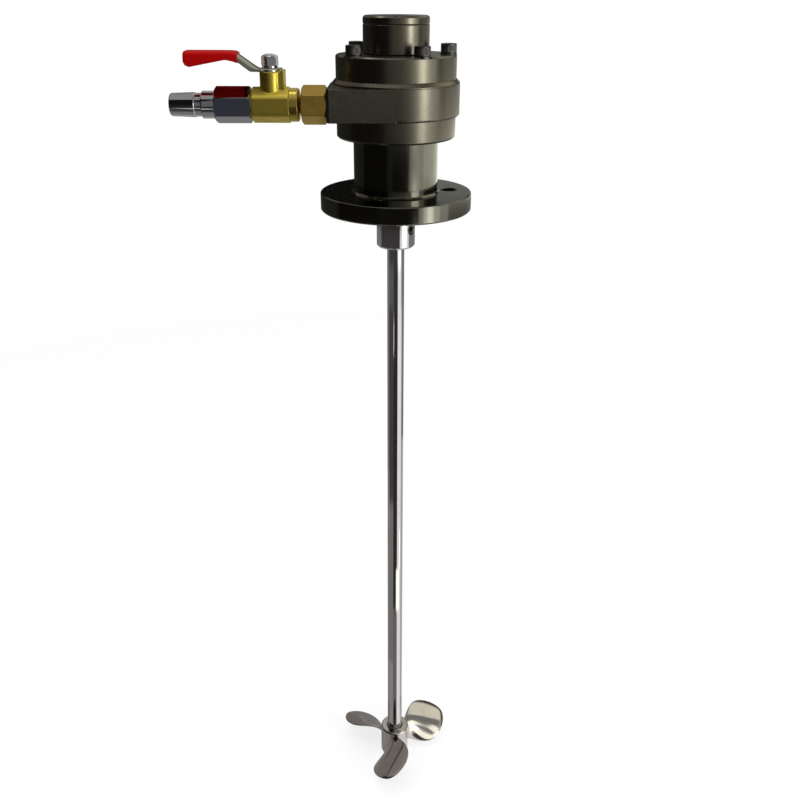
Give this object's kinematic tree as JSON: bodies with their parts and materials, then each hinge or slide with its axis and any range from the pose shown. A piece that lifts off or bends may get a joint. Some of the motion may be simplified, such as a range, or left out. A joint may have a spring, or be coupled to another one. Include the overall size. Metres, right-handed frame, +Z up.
{
  "type": "pneumatic agitator",
  "caption": "Air-driven agitator: a vane motor on a round mounting flange, with a ball valve and coupler plug on its inlet, turns a long stirring shaft with a bladed propeller.",
  "frame": {"origin": "centre of the mounting flange's underside, on the shaft's axis", "axes": "+Z up along the shaft from the propeller to the motor; -X along the air inlet line, from the motor to the coupler plug; -Y the side of the motor's flat front corner"},
  "size_m": [0.1628, 0.085, 0.5096],
  "materials": {
    "anodised_black": "glossy hard anodised",
    "black_oxide": "black oxide steel",
    "rubber": "matte",
    "spring_steel": "phosphated",
    "bearing_steel": "ground",
    "stainless": "polished",
    "brass": "machined",
    "chrome": "plated",
    "lever_steel": "plated sheet",
    "red_grip": "soft glossy dip",
    "seal_plastic": "matte",
    "vane_composite": "matte"
  },
  "bodies": {
    "motor": {"flange_bracket": "anodised_black", "bracket_screws": "black_oxide", "lower_end_plate": "anodised_black", "shaft_seal": "rubber", "bearing_circlip": "spring_steel", "lower_bearing_outer_ring": "bearing_steel", "cylinder_block": "anodised_black", "dowel_pins": "bearing_steel", "upper_end_plate": "anodised_black", "upper_bearing_outer_ring": "bearing_steel", "bearing_cap": "anodised_black", "cap_lid": "anodised_black", "cap_screws": "black_oxide", "cover_screws": "black_oxide", "spring_washers": "black_oxide", "inlet_seal_washer": "seal_plastic", "inlet_adaptor": "brass", "valve_end_retainer": "brass", "valve_body": "brass", "ball_seats": "seal_plastic", "stem_packing": "seal_plastic", "coupler_plug": "chrome"},
    "stirrer": {"rotor": "bearing_steel", "vane_1": "vane_composite", "vane_2": "vane_composite", "vane_3": "vane_composite", "vane_4": "vane_composite", "lower_bearing_inner_ring": "bearing_steel", "upper_bearing_inner_ring": "bearing_steel", "shaft_circlip": "spring_steel", "coupling_sleeve": "stainless", "sleeve_set_screws": "black_oxide", "stirring_shaft": "stainless", "propeller": "stainless", "propeller_set_screw": "stainless"},
    "lower_balls": {"lower_ball_set": "bearing_steel"},
    "upper_balls": {"upper_ball_set": "bearing_steel"},
    "valve_handle": {"valve_ball": "chrome", "valve_stem": "brass", "lever": "lever_steel", "lever_grip": "red_grip", "lever_washer": "chrome", "dome_nut": "chrome"}
  },
  "joints": [
    {"name": "motor_spin", "type": "hinge", "parent": "motor", "child": "stirrer", "pos_m": [0, 0, 0], "axis": [0, 0, 1], "continuous": true},
    {"name": "lower_balls_turn", "type": "hinge", "parent": "motor", "child": "lower_balls", "pos_m": [0, 0, 0.0435], "axis": [0, 0, 1], "continuous": true},
    {"name": "upper_balls_turn", "type": "hinge", "parent": "motor", "child": "upper_balls", "pos_m": [0, 0, 0.0803], "axis": [0, 0, 1], "continuous": true},
    {"name": "lever_turn", "type": "hinge", "parent": "motor", "child": "valve_handle", "pos_m": [-0.0663, -0.01, 0.07505], "axis": [0, 0, 1], "range_deg": [0, 90]}
  ],
  "couplings": [
    {"joint": "lower_balls_turn", "follows": "motor_spin", "ratio": 0.40078},
    {"joint": "upper_balls_turn", "follows": "motor_spin", "ratio": 0.40078}
  ]
}
